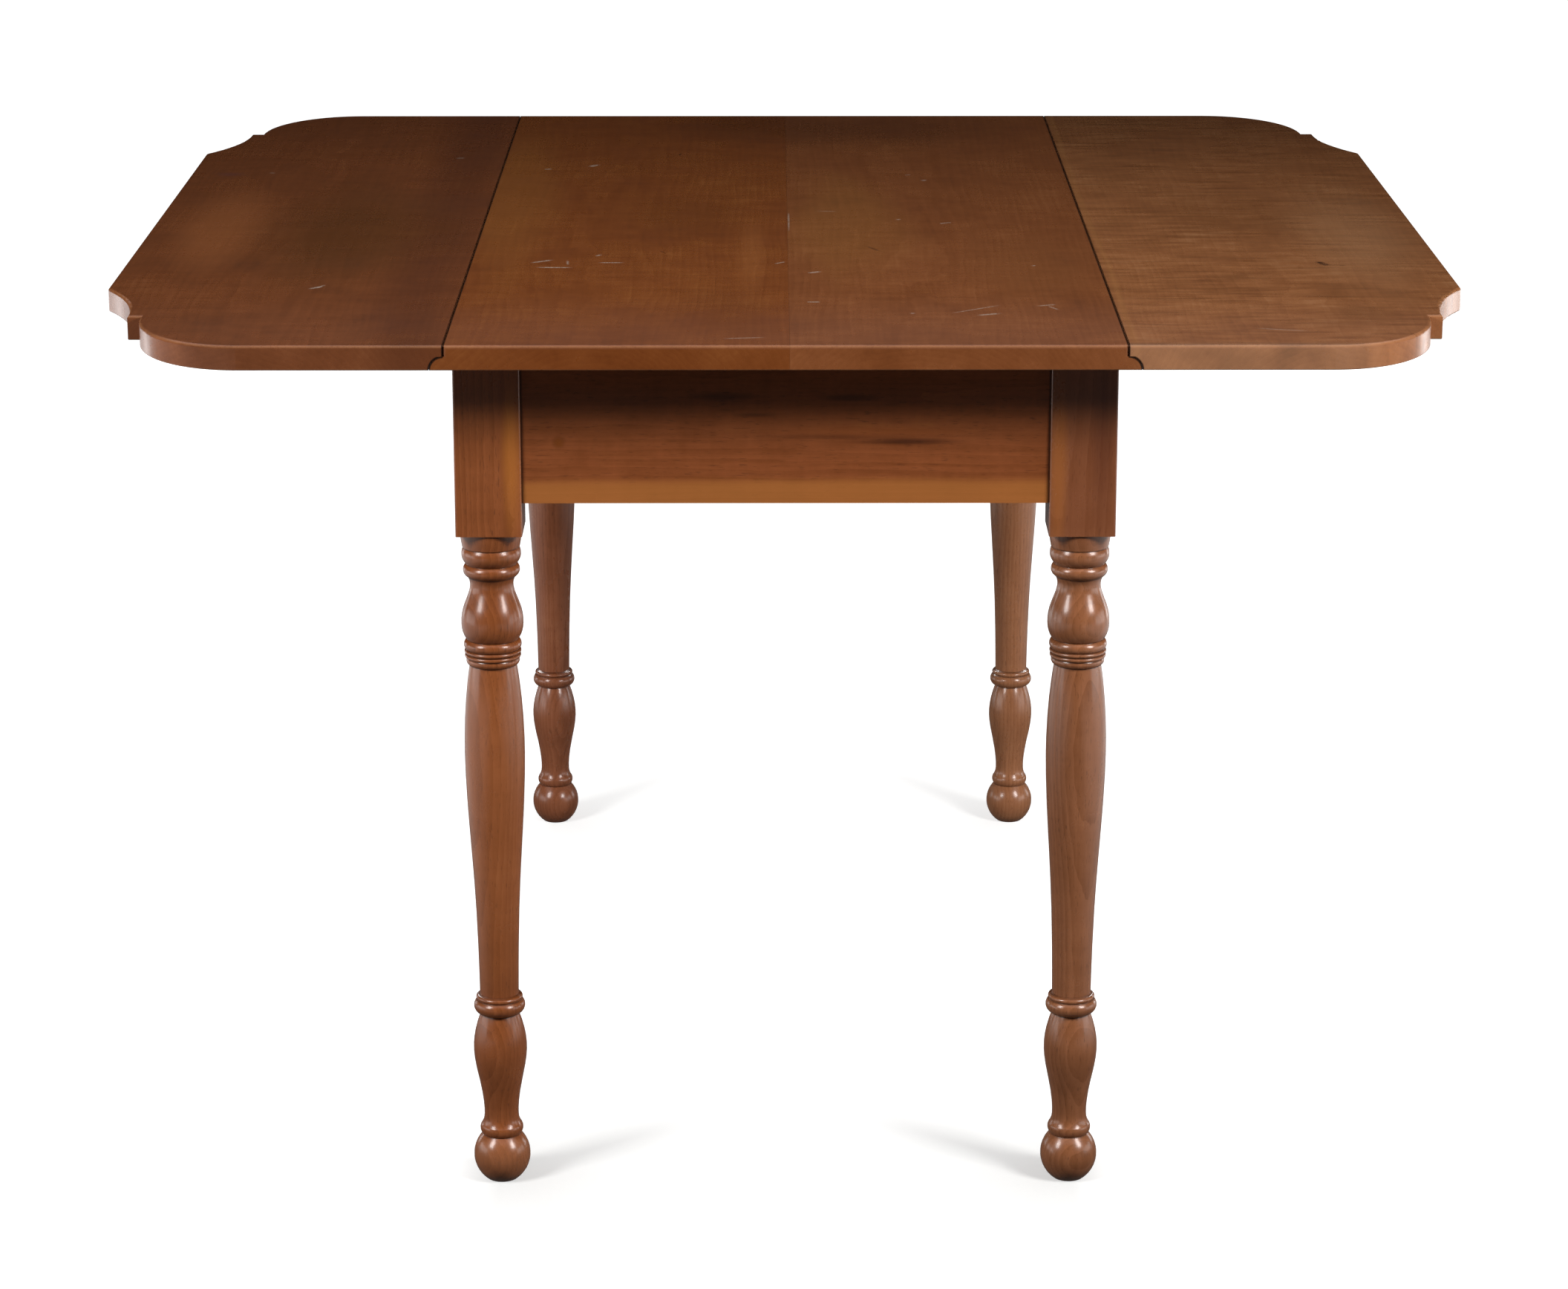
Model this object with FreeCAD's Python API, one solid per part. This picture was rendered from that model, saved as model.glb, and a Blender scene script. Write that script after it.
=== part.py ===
import FreeCAD, Part
import math
import os

# Sizes are in millimetres. X runs across the leaves, Y from front to rear, Z up from the floor.

# top and leaves
table_height = 737.0
top_thickness = 20.0
top_length = 1130.0
centre_width = 540.0
leaf_width = 296.0
seam_offset = 3.0
edge_round = 2.5
under_round = 1.2
joint_line_round = 0.7

# rule joint
joint_flat = 9.0
joint_gap = 0.4
ovolo_radius = top_thickness - joint_flat

# shaped leaf corner
corner_round_width = 90.0
corner_round_length = 116.0
corner_step = 11.0
corner_cove_width = 32.0
corner_cove_length = 115.0
corner_tip_round = 8.0

# legs
side_overhang = 3.0
end_overhang = 54.0
block_width = 54.0
block_height = 149.5
block_edge_round = 1.5

# aprons and side rails
apron_height = 122.0
apron_thickness = 20.0
apron_setback = 3.0
rail_thickness = 19.0
tenon_thickness = 9.0
tenon_length = 24.0
tenon_shoulder = 15.0
tenon_clearance = 0.15
mortise_extra_depth = 1.0

# swinging brackets with wooden knuckles
bracket_thickness = 19.0
bracket_clearance = 0.5
bracket_setback = 4.0
bracket_tip_height = 44.0
bracket_tip_round = 7.0
bracket_gap = 5.0
fly_end_length = 187.0
fly_middle_length = 100.0
knuckle_count = 5
knuckle_gap = 0.4
knuckle_run = 0.3
bracket_pin_radius = 3.0
bracket_pin_run = 0.08

# rule-joint hinges
hinge_inset = 165.0
hinge_width = 36.0
hinge_plate_reach = 40.0
hinge_strap_reach = 58.0
hinge_metal = 2.0
barrel_radius = 3.6
barrel_gap = 0.4
hinge_pin_radius = 1.5
hinge_pin_run = 0.06
hinge_bed_clearance = 0.1

# screws and screw blocks
hinge_screw = {"head": 3.1, "shank": 1.5, "length": 12.0}
top_screw = {"head": 4.2, "shank": 2.1, "length": 34.0}
fly_screw = {"head": 4.2, "shank": 2.1, "length": 32.0}
slot_width = 0.9
slot_depth = 0.8
screw_block_size = 24.0
screw_block_length = 60.0
side_block_y = 150.0
end_block_x = 110.0

# sizes that follow from the ones above
underside = table_height - top_thickness
half_length = top_length / 2
joint_x = centre_width / 2
leaf_edge_x = joint_x + leaf_width
half_block = block_width / 2
block_bottom = underside - block_height
leg_outer_x = joint_x - side_overhang
leg_outer_y = half_length - end_overhang
leg_centre_x = leg_outer_x - half_block
leg_centre_y = leg_outer_y - half_block
leg_inner_x = leg_outer_x - block_width
leg_inner_y = leg_outer_y - block_width
apron_bottom = underside - apron_height
apron_face_y = leg_outer_y - apron_setback
apron_back_y = apron_face_y - apron_thickness
fly_outer_x = leg_outer_x - bracket_setback
bracket_pivot_x = fly_outer_x - bracket_thickness / 2
bracket_pivot_y = leg_inner_y - fly_end_length
bracket_tip_y = fly_middle_length / 2 + bracket_gap
bracket_length = bracket_pivot_y - bracket_tip_y
rail_outer_x = fly_outer_x - bracket_thickness - bracket_clearance
rail_inner_x = rail_outer_x - rail_thickness
hinge_places = (hinge_inset - half_length, 0.0, half_length - hinge_inset)

across = FreeCAD.Vector(1, 0, 0)
along = FreeCAD.Vector(0, 1, 0)
upward = FreeCAD.Vector(0, 0, 1)
origin = FreeCAD.Vector(0, 0, 0)


def box(x_from, x_to, y_from, y_to, z_from, z_to):
    corner = FreeCAD.Vector(x_from, y_from, z_from)
    return Part.makeBox(x_to - x_from, y_to - y_from, z_to - z_from, corner)


def rod(radius, length, x, y, z, direction):
    return Part.makeCylinder(radius, length, FreeCAD.Vector(x, y, z), direction)


def flip_x(shape):
    return shape.mirror(origin, across)


def flip_y(shape):
    return shape.mirror(origin, along)


def save(name, shape):
    shape.exportStep("parts/" + name + ".step")


def in_section(x, z):
    return FreeCAD.Vector(x, 0, z)


def is_board_end(bounds):
    return bounds.YLength < 0.01 and bounds.XLength > joint_x / 2


def is_leaf_rim(bounds):
    return bounds.XMax > joint_x


# rounds the level edges at one height that the given test picks
def soften(shape, radius, height, picks):
    edges = []
    for edge in shape.Edges:
        bounds = edge.BoundBox
        if bounds.ZLength < 0.01 and abs(bounds.ZMax - height) < 0.01 and picks(bounds):
            edges.append(edge)
    return shape.makeFillet(radius, edges)


# A step of an outline is a point to draw a line to, or a middle and an end point of an arc,
# or a list of points that a smooth curve runs through.
def outline(start, steps, place):
    edges = []
    here = start
    for step in steps:
        if isinstance(step, list):
            curve = Part.BSplineCurve()
            curve.interpolate([place(*point) for point in [here] + step])
            edges.append(curve.toShape())
            here = step[-1]
        elif len(step) == 4:
            middle = place(step[0], step[1])
            end = place(step[2], step[3])
            edges.append(Part.Arc(place(*here), middle, end).toShape())
            here = (step[2], step[3])
        else:
            edges.append(Part.LineSegment(place(*here), place(*step)).toShape())
            here = step
    edges.append(Part.LineSegment(place(*here), place(*start)).toShape())
    return Part.Face(Part.Wire(edges))


def screw(sizes, extra=0.0):
    head_height = sizes["head"] - sizes["shank"]
    head = Part.makeCone(sizes["head"] + extra, sizes["shank"] + extra, head_height)
    shank = Part.makeCylinder(sizes["shank"] + extra, sizes["length"])
    shape = head.fuse(shank).removeSplitter()
    if extra:
        return shape
    wide = sizes["head"] + 1
    slot = box(-wide, wide, -slot_width / 2, slot_width / 2, -1, slot_depth)
    return shape.cut(slot)


def screw_at(sizes, x, y, z, direction, extra=0.0):
    shape = screw(sizes, extra)
    shape.Placement = FreeCAD.Placement(
        FreeCAD.Vector(x, y, z), FreeCAD.Rotation(upward, direction)
    )
    return shape


# rule-joint hinges, drawn for the right leaf
def hinge_knuckle(y_from, y_to, bore):
    barrel = rod(barrel_radius, y_to - y_from, joint_x, y_from, underside, along)
    return barrel.cut(rod(bore, y_to - y_from, joint_x, y_from, underside, along))


def hinge_screw_places(sign, reach):
    near = joint_x + sign * (barrel_radius + reach) * 0.45
    far = joint_x + sign * (reach - 8)
    return near, far


def hinge_plate(y):
    third = hinge_width / 6
    bore = hinge_pin_radius + hinge_pin_run / 3
    start = joint_x - hinge_plate_reach
    flap = box(start, joint_x, y - 3 * third, y + 3 * third, underside, underside + hinge_metal)
    flap = flap.cut(rod(bore, hinge_width, joint_x, y - 3 * third, underside, along))
    clear = barrel_radius + barrel_gap
    middle = box(
        joint_x - clear, joint_x + clear, y - third, y + third, underside - clear, underside + clear
    )
    flap = flap.cut(middle)
    for x in hinge_screw_places(-1, hinge_plate_reach):
        flap = flap.cut(screw_at(hinge_screw, x, y, underside, upward, 0.05))
    front = hinge_knuckle(y - 3 * third, y - third, bore)
    rear = hinge_knuckle(y + third, y + 3 * third, bore)
    return flap.fuse([front, rear]).removeSplitter()


def hinge_strap(y):
    third = hinge_width / 6
    bore = hinge_pin_radius + hinge_pin_run
    half_tongue = third - barrel_gap
    clear = barrel_radius + barrel_gap
    end = joint_x + hinge_strap_reach
    top = underside + hinge_metal
    flap = box(joint_x + clear, end, y - 3 * third, y + 3 * third, underside, top)
    tongue = box(joint_x, joint_x + clear + 1, y - half_tongue, y + half_tongue, underside, top)
    tongue = tongue.cut(rod(bore, hinge_width, joint_x, y - 3 * third, underside, along))
    knuckle = hinge_knuckle(y - half_tongue, y + half_tongue, bore)
    strap = flap.fuse([tongue, knuckle]).removeSplitter()
    for x in hinge_screw_places(1, hinge_strap_reach):
        strap = strap.cut(screw_at(hinge_screw, x, y, underside, upward, 0.05))
    return strap


def hinge_pin(y):
    return rod(hinge_pin_radius, hinge_width, joint_x, y - hinge_width / 2, underside, along)


def hinge_bed_in_top(y):
    clear = hinge_bed_clearance
    half = hinge_width / 2 + clear
    run = barrel_radius + barrel_gap
    top = underside + hinge_metal
    plate = box(joint_x - hinge_plate_reach - clear, joint_x, y - half, y + half, underside - 1, top)
    barrel = rod(run, 2 * half, joint_x, y - half, underside, along)
    reach = joint_x + ovolo_radius + 1
    strap = box(joint_x, reach, y - half, y + half, underside - 1, top + joint_gap)
    return plate.fuse([barrel, strap])


def hinge_bed_in_leaf(y):
    clear = hinge_bed_clearance
    half = hinge_width / 2 + clear
    end = joint_x + hinge_strap_reach + clear
    return box(joint_x, end, y - half, y + half, underside - 1, underside + hinge_metal)


# places of the screws that hold the top, for all four corners
top_screw_x = rail_inner_x - screw_block_size / 2
top_screw_y = apron_back_y - screw_block_size / 2
top_screw_bottom = underside - screw_block_size
top_screw_places = []
for sign_x in (-1, 1):
    for sign_y in (-1, 1):
        top_screw_places.append((sign_x * top_screw_x, sign_y * side_block_y))
        top_screw_places.append((sign_x * end_block_x, sign_y * top_screw_y))


# centre top: two boards, each with an ovolo along its outer edge
def top_board(seam_x, mirrored):
    ease = joint_line_round
    slant = math.sqrt(0.5)
    steps = [
        (joint_x + ovolo_radius, underside),
        (
            joint_x + ovolo_radius * slant,
            underside + ovolo_radius * slant,
            joint_x,
            underside + ovolo_radius,
        ),
        (joint_x, table_height - ease),
        (
            joint_x - ease * (1 - slant),
            table_height - ease * (1 - slant),
            joint_x - ease,
            table_height,
        ),
        (seam_x, table_height),
    ]
    face = outline((seam_x, underside), steps, in_section)
    board = face.extrude(FreeCAD.Vector(0, top_length, 0))
    board.translate(FreeCAD.Vector(0, -half_length, 0))
    board = soften(board, edge_round, table_height, is_board_end)
    board = soften(board, under_round, underside, is_board_end)
    for y in hinge_places:
        board = board.cut(hinge_bed_in_top(y))
        for x in hinge_screw_places(-1, hinge_plate_reach):
            board = board.cut(screw_at(hinge_screw, x, y, underside, upward, 0.02))
    side = -1 if mirrored else 1
    for x, y in top_screw_places:
        if x * side > 0:
            hole = screw_at(top_screw, abs(x), y, top_screw_bottom, upward, 0.02)
            board = board.cut(hole)
    return flip_x(board) if mirrored else board


# right leaf: plan outline, cut by the coved section of the joint
def leaf():
    inner_x = joint_x - 10
    step_x = leaf_edge_x - corner_cove_width
    round_x = step_x - corner_step
    start_x = round_x - corner_round_width
    step_y = half_length - corner_round_length
    tip_y = step_y - corner_cove_length
    radius = (corner_cove_width**2 + corner_cove_length**2) / (2 * corner_cove_width)
    half_turn = math.asin(corner_cove_length / radius) / 2
    cove_x = step_x + radius * (1 - math.cos(half_turn))
    cove_y = step_y - radius * math.sin(half_turn)
    edges = []
    corners = []
    for sign in (-1, 1):

        def at(x, y):
            return FreeCAD.Vector(x, sign * y, underside)

        corners.append(at(leaf_edge_x, tip_y))
        centre = at(start_x, step_y)
        ellipse = Part.Ellipse(at(start_x, half_length), at(round_x, step_y), centre)
        edges.append(Part.LineSegment(at(inner_x, half_length), at(start_x, half_length)).toShape())
        edges.append(Part.ArcOfEllipse(ellipse, 0, math.pi / 2).toShape())
        edges.append(Part.LineSegment(at(round_x, step_y), at(step_x, step_y)).toShape())
        cove = Part.Arc(at(step_x, step_y), at(cove_x, cove_y), at(leaf_edge_x, tip_y))
        edges.append(cove.toShape())
    inner_front = FreeCAD.Vector(inner_x, -half_length, underside)
    inner_rear = FreeCAD.Vector(inner_x, half_length, underside)
    edges.append(Part.LineSegment(inner_front, inner_rear).toShape())
    edges.append(Part.LineSegment(corners[0], corners[1]).toShape())
    face = Part.Face(Part.Wire(Part.__sortEdges__(edges)))
    board = face.extrude(FreeCAD.Vector(0, 0, top_thickness))
    tips = []
    for edge in board.Edges:
        middle = edge.BoundBox.Center
        upright = edge.BoundBox.ZLength > top_thickness / 2 and edge.BoundBox.XLength < 0.01
        if upright and min(abs(middle.x - c.x) + abs(middle.y - c.y) for c in corners) < 0.01:
            tips.append(edge)
    board = board.makeFillet(corner_tip_round, tips)
    board = soften(board, edge_round, table_height, is_leaf_rim)
    board = soften(board, under_round, underside, is_leaf_rim)
    radius = ovolo_radius + joint_gap
    start_z = underside + math.sqrt(radius**2 - joint_gap**2)
    slant = math.sqrt(0.5)
    ease = joint_line_round
    line_x = joint_x + joint_gap
    start = (line_x + ease, table_height)
    steps = [
        (
            line_x + ease * (1 - slant),
            table_height - ease * (1 - slant),
            line_x,
            table_height - ease,
        ),
        (line_x, start_z),
        (joint_x + radius * slant, underside + radius * slant, joint_x + radius, underside),
        (leaf_edge_x + 20, underside),
        (leaf_edge_x + 20, table_height),
    ]
    section = outline(start, steps, in_section).extrude(FreeCAD.Vector(0, top_length + 40, 0))
    section.translate(FreeCAD.Vector(0, -half_length - 20, 0))
    board = board.common(section)
    for y in hinge_places:
        board = board.cut(hinge_bed_in_leaf(y))
        for x in hinge_screw_places(1, hinge_strap_reach):
            board = board.cut(screw_at(hinge_screw, x, y, underside, upward, 0.02))
    return board


# turned leg: radius and height of each step, from the block down to the foot, drawn for a turning
# of the height given first
drawn_turning_height = 567.5
leg_turning = [
    (25.6, 567.5),
    (24.7, 560.0, 23.6, 553.8),
    (23.0, 553.1),
    (24.4, 548.0, 21.1, 539.6),
    (20.9, 539.1),
    (23.3, 534.4, 19.6, 528.4),
    [(18.1, 524.6), (17.8, 520.6), (19.6, 513.0), (23.8, 501.6), (25.5, 490.5), (24.4, 481.5), (21.9, 476.2)],
    (21.3, 475.4),
    (23.7, 471.2, 22.3, 467.3),
    (22.0, 467.0),
    (23.4, 465.2, 22.0, 463.4),
    (21.8, 463.2),
    (23.1, 461.4, 21.7, 459.6),
    (21.5, 459.4),
    (22.0, 457.6, 19.9, 453.6),
    (19.4, 453.4),
    [(23.0, 424.0), (24.9, 382.0), (23.2, 329.0), (18.7, 255.0), (16.7, 193.0), (16.3, 166.4)],
    (17.6, 165.6),
    (19.5, 163.6, 18.7, 161.4),
    (21.5, 156.0, 17.8, 149.4),
    (16.2, 148.6),
    [(20.0, 136.4), (22.4, 119.6), (20.2, 99.0), (16.4, 80.0), (14.4, 61.0), (15.4, 52.2), (17.4, 48.6)],
    (18.1, 45.4, 16.6, 41.0),
    (16.2, 40.4),
    (23.7, 19.0, 13.0, 0.0),
    (0.0, 0.0),
]


# one step of the turning with its heights stretched to the height below the block
def stretched(step):
    if isinstance(step, list):
        return [stretched(point) for point in step]
    numbers = []
    for radius, height in zip(step[::2], step[1::2]):
        numbers += [radius, height * block_bottom / drawn_turning_height]
    return tuple(numbers)


def mortise(shape_bounds, depth_axis):
    clear = tenon_clearance
    x_from, x_to, y_from, y_to, z_from, z_to = shape_bounds
    if depth_axis == "x":
        hole = (x_from - 1, x_to + mortise_extra_depth, y_from - clear, y_to + clear)
    else:
        hole = (x_from - clear, x_to + clear, y_from - 1, y_to + mortise_extra_depth)
    return box(*hole, z_from - clear, z_to + clear)


tenon_bottom = apron_bottom + tenon_shoulder
tenon_top = underside - tenon_shoulder
apron_tenon_y = (apron_face_y + apron_back_y) / 2
rail_tenon_x = (rail_outer_x + rail_inner_x) / 2
half_tenon = tenon_thickness / 2
apron_tenon = (
    leg_inner_x,
    leg_inner_x + tenon_length,
    apron_tenon_y - half_tenon,
    apron_tenon_y + half_tenon,
    tenon_bottom,
    tenon_top,
)
rail_tenon = (
    rail_tenon_x - half_tenon,
    rail_tenon_x + half_tenon,
    leg_inner_y,
    leg_inner_y + tenon_length,
    tenon_bottom,
    tenon_top,
)


# leg at the right rear; the others are its mirror images
def leg():
    hidden_top = block_bottom + 6
    start = (0.0, hidden_top)
    steps = [(leg_turning[0][0], hidden_top)] + [stretched(step) for step in leg_turning]
    turned = outline(start, steps, in_section).revolve(origin, upward, 360)
    block = box(-half_block, half_block, -half_block, half_block, block_bottom, underside)
    corners = []
    for edge in block.Edges:
        if edge.BoundBox.ZLength > half_block:
            corners.append(edge)
    block = block.makeFillet(block_edge_round, corners)
    shape = turned.fuse(block).removeSplitter()
    shape.translate(FreeCAD.Vector(leg_centre_x, leg_centre_y, 0))
    shape = shape.cut(mortise(apron_tenon, "x"))
    return shape.cut(mortise(rail_tenon, "y"))


# rear apron and right side rail; the others are their mirror images
def apron():
    board = box(-leg_inner_x, leg_inner_x, apron_back_y, apron_face_y, apron_bottom, underside)
    tenon = box(*apron_tenon)
    return board.fuse([tenon, flip_x(tenon)]).removeSplitter()


def side_rail():
    board = box(rail_inner_x, rail_outer_x, -leg_inner_y, leg_inner_y, apron_bottom, underside)
    tenon = box(*rail_tenon)
    board = board.fuse([tenon, flip_y(tenon)]).removeSplitter()
    for hole in fly_screws(0.05):
        board = board.cut(hole)
    return board


# screws from the inside of a side rail into the fixed fly rail pieces
fly_screw_z = (apron_bottom + underside) / 2
fly_screw_y = (-(leg_inner_y - 40), -(bracket_pivot_y + 50), -30, 30, bracket_pivot_y + 50, leg_inner_y - 40)


def fly_screws(extra):
    shapes = []
    for y in fly_screw_y:
        shapes.append(screw_at(fly_screw, rail_inner_x, y, fly_screw_z, across, extra))
    return shapes


# wooden knuckle joint of the right rear bracket: the fixed end lies beyond the pivot, the
# bracket on this side of it, and both shoulders are bevelled at 45 degrees behind the barrels
knuckle_pitch = (underside - apron_bottom) / knuckle_count


def knuckle_levels(first):
    levels = []
    for index in range(first, knuckle_count, 2):
        low = apron_bottom + index * knuckle_pitch
        levels.append((low, low + knuckle_pitch))
    return levels


def barrel_at(radius, low, high):
    return rod(radius, high - low, bracket_pivot_x, bracket_pivot_y, low, upward)


def bevel(sign, length, inner_x, low, high):
    half = bracket_thickness / 2
    tip = bracket_pivot_y + sign * knuckle_run
    points = [
        FreeCAD.Vector(bracket_pivot_x, tip, low),
        FreeCAD.Vector(bracket_pivot_x + half, tip + sign * half, low),
        FreeCAD.Vector(bracket_pivot_x + half, bracket_pivot_y + sign * length, low),
        FreeCAD.Vector(inner_x, bracket_pivot_y + sign * length, low),
        FreeCAD.Vector(inner_x, tip + sign * (bracket_pivot_x - inner_x), low),
    ]
    face = Part.Face(Part.makePolygon(points + points[:1]))
    return face.extrude(FreeCAD.Vector(0, 0, high - low))


def fly_end():
    length = leg_inner_y - bracket_pivot_y
    shape = bevel(1, length, rail_outer_x, apron_bottom, underside)
    own = knuckle_levels(0)
    for low, high in knuckle_levels(1):
        room = bracket_thickness / 2 + knuckle_run
        shape = shape.cut(barrel_at(room, low, high))
    for low, high in own:
        shape = shape.fuse(barrel_at(bracket_thickness / 2, low, high))
    shape = shape.removeSplitter()
    shape = shape.cut(barrel_at(bracket_pin_radius + 0.02, apron_bottom, underside))
    for hole in fly_screws(0.05):
        shape = shape.cut(hole)
    return shape


def bracket():
    half = bracket_thickness / 2
    low = apron_bottom + bracket_clearance
    high = underside - bracket_clearance
    inner_x = bracket_pivot_x - half
    shape = bevel(-1, bracket_length, inner_x, low, high)
    for bottom, top in knuckle_levels(0):
        room = half + knuckle_run
        shape = shape.cut(barrel_at(room, bottom - knuckle_gap, top + knuckle_gap))
    for bottom, top in knuckle_levels(1):
        shape = shape.fuse(barrel_at(half, bottom + knuckle_gap, top - knuckle_gap))
    shape = shape.removeSplitter()
    shape = shape.cut(barrel_at(bracket_pin_radius + bracket_pin_run, low, high))

    def in_side(distance, z):
        return FreeCAD.Vector(inner_x - 5, bracket_pivot_y - distance, z)

    tip_low = high - bracket_tip_height
    rise = tip_low - low
    tip = bracket_length
    curve_start = 0.14 * bracket_length
    curve = [
        (0.215 * bracket_length, low + 0.06 * rise),
        (0.365 * bracket_length, low + 0.42 * rise),
        (0.51 * bracket_length, low + 0.86 * rise),
        (0.64 * bracket_length, tip_low),
    ]
    steps = [
        (curve_start, low),
        curve,
        (tip - bracket_tip_round, tip_low),
        (
            tip - bracket_tip_round * (1 - math.sqrt(0.5)),
            tip_low + bracket_tip_round * (1 - math.sqrt(0.5)),
            tip,
            tip_low + bracket_tip_round,
        ),
        (tip, high + 5),
        (tip + 30, high + 5),
        (tip + 30, low - 5),
    ]
    waste = outline((curve_start, low - 5), steps, in_side)
    waste = waste.extrude(FreeCAD.Vector(bracket_thickness + 10, 0, 0))
    return shape.cut(waste)


def fly_middle():
    half = bracket_tip_y - bracket_gap
    board = box(rail_outer_x, fly_outer_x, -half, half, apron_bottom, underside)
    for hole in fly_screws(0.05):
        board = board.cut(hole)
    return board


def bracket_pin():
    return barrel_at(bracket_pin_radius, apron_bottom + 1, underside - 1)


# blocks glued inside the rails, and the screws through them into the top
def screw_block(x, y):
    half = screw_block_size / 2
    lengthways = screw_block_length / 2
    beside_rail = abs(abs(x) - top_screw_x) < 0.01
    wide = half if beside_rail else lengthways
    deep = lengthways if beside_rail else half
    shape = box(x - wide, x + wide, y - deep, y + deep, top_screw_bottom, underside)
    return shape.cut(screw_at(top_screw, x, y, top_screw_bottom, upward, 0.05))


os.makedirs("parts", exist_ok=True)

save("top_board_left", top_board(-seam_offset, True))
save("top_board_right", top_board(seam_offset, False))
right_leaf = leaf()
save("right_leaf", right_leaf)
save("left_leaf", flip_x(right_leaf))

rear_right_leg = leg()
save("rear_right_leg", rear_right_leg)
save("front_right_leg", flip_y(rear_right_leg))
save("rear_left_leg", flip_x(rear_right_leg))
save("front_left_leg", flip_x(flip_y(rear_right_leg)))

rear_apron = apron()
save("rear_apron", rear_apron)
save("front_apron", flip_y(rear_apron))
right_side_rail = side_rail()
save("right_side_rail", right_side_rail)
save("left_side_rail", flip_x(right_side_rail))

rear_fly_end = fly_end()
rear_bracket = bracket()
middle = fly_middle()
save("right_rear_fly_end", rear_fly_end)
save("right_front_fly_end", flip_y(rear_fly_end))
save("left_rear_fly_end", flip_x(rear_fly_end))
save("left_front_fly_end", flip_x(flip_y(rear_fly_end)))
save("right_fly_middle", middle)
save("left_fly_middle", flip_x(middle))
save("right_rear_bracket", rear_bracket)
save("right_front_bracket", flip_y(rear_bracket))
save("left_rear_bracket", flip_x(rear_bracket))
save("left_front_bracket", flip_x(flip_y(rear_bracket)))

pin = bracket_pin()
pins = [pin, flip_y(pin), flip_x(pin), flip_x(flip_y(pin))]
save("bracket_pins", Part.makeCompound(pins))

plates = [hinge_plate(y) for y in hinge_places]
straps = [hinge_strap(y) for y in hinge_places]
hinge_pins = [hinge_pin(y) for y in hinge_places]
save("right_hinge_plates", Part.makeCompound(plates))
save("left_hinge_plates", Part.makeCompound([flip_x(shape) for shape in plates]))
save("right_hinge_straps", Part.makeCompound(straps))
save("left_hinge_straps", Part.makeCompound([flip_x(shape) for shape in straps]))
save("right_hinge_pins", Part.makeCompound(hinge_pins))
save("left_hinge_pins", Part.makeCompound([flip_x(shape) for shape in hinge_pins]))

plate_screws = []
strap_screws = []
for y in hinge_places:
    for x in hinge_screw_places(-1, hinge_plate_reach):
        plate_screws.append(screw_at(hinge_screw, x, y, underside, upward))
    for x in hinge_screw_places(1, hinge_strap_reach):
        strap_screws.append(screw_at(hinge_screw, x, y, underside, upward))
both_sides = plate_screws + [flip_x(shape) for shape in plate_screws]
save("hinge_plate_screws", Part.makeCompound(both_sides))
save("right_strap_screws", Part.makeCompound(strap_screws))
save("left_strap_screws", Part.makeCompound([flip_x(shape) for shape in strap_screws]))

blocks = [screw_block(x, y) for x, y in top_screw_places]
save("screw_blocks", Part.makeCompound(blocks))
top_screws = [screw_at(top_screw, x, y, top_screw_bottom, upward) for x, y in top_screw_places]
save("top_screws", Part.makeCompound(top_screws))

right_fly_screws = fly_screws(0.0)
both_sides = right_fly_screws + [flip_x(shape) for shape in right_fly_screws]
save("fly_rail_screws", Part.makeCompound(both_sides))
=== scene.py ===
import math

import bmesh
import bpy
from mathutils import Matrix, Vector


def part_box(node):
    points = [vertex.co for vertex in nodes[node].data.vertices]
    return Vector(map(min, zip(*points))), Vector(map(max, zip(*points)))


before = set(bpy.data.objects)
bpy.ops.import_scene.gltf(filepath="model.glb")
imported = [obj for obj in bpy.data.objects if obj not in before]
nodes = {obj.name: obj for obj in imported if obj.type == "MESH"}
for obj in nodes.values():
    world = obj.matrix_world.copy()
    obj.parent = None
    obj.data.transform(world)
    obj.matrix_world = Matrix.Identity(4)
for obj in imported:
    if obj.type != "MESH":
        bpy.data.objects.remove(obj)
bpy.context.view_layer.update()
mm = 0.001
topHeight = 737  # upper face of the boards
print("frame loaded with", len(nodes), "pieces")


# colours are written as sRGB hex and turned linear here
def toLinear(hexColour):
    parts = [int(hexColour[i : i + 2], 16) / 255 for i in (1, 3, 5)]
    return [p / 12.92 if p <= 0.04045 else ((p + 0.055) / 1.055) ** 2.4 for p in parts] + [1.0]


# adds a node: sockets are values or links, ramp is a list of (place, colour), the rest are settings
def addNode(tree, kind, sockets=None, ramp=None, **settings):
    node = tree.nodes.new("ShaderNode" + kind)
    for name, value in settings.items():
        setattr(node, name, value)
    for name, value in (sockets or {}).items():
        if isinstance(value, bpy.types.NodeSocket):
            tree.links.new(value, node.inputs[name])
        else:
            node.inputs[name].default_value = value
    for index, (place, hexColour) in enumerate(ramp or []):
        stops = node.color_ramp.elements
        stop = stops[index] if index < 2 else stops.new(place)
        stop.position = place
        stop.color = toLinear(hexColour)
    return node


def newMaterial(name):
    material = bpy.data.materials.new(name)
    material.use_nodes = True
    material.node_tree.nodes.clear()
    return material, material.node_tree


def dress(material, *nodeNames):
    for name in nodeNames:
        slots = nodes[name].data.materials
        slots.clear()
        slots.append(material)


# scales of a pattern whose size is given in mm across and along the grain
def alongGrain(grain, across, length):
    scales = {axis: 1 / (across * mm) for axis in "XYZ"}
    scales[grain] = 1 / (length * mm)
    return scales["X"], scales["Y"], scales["Z"]


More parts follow.
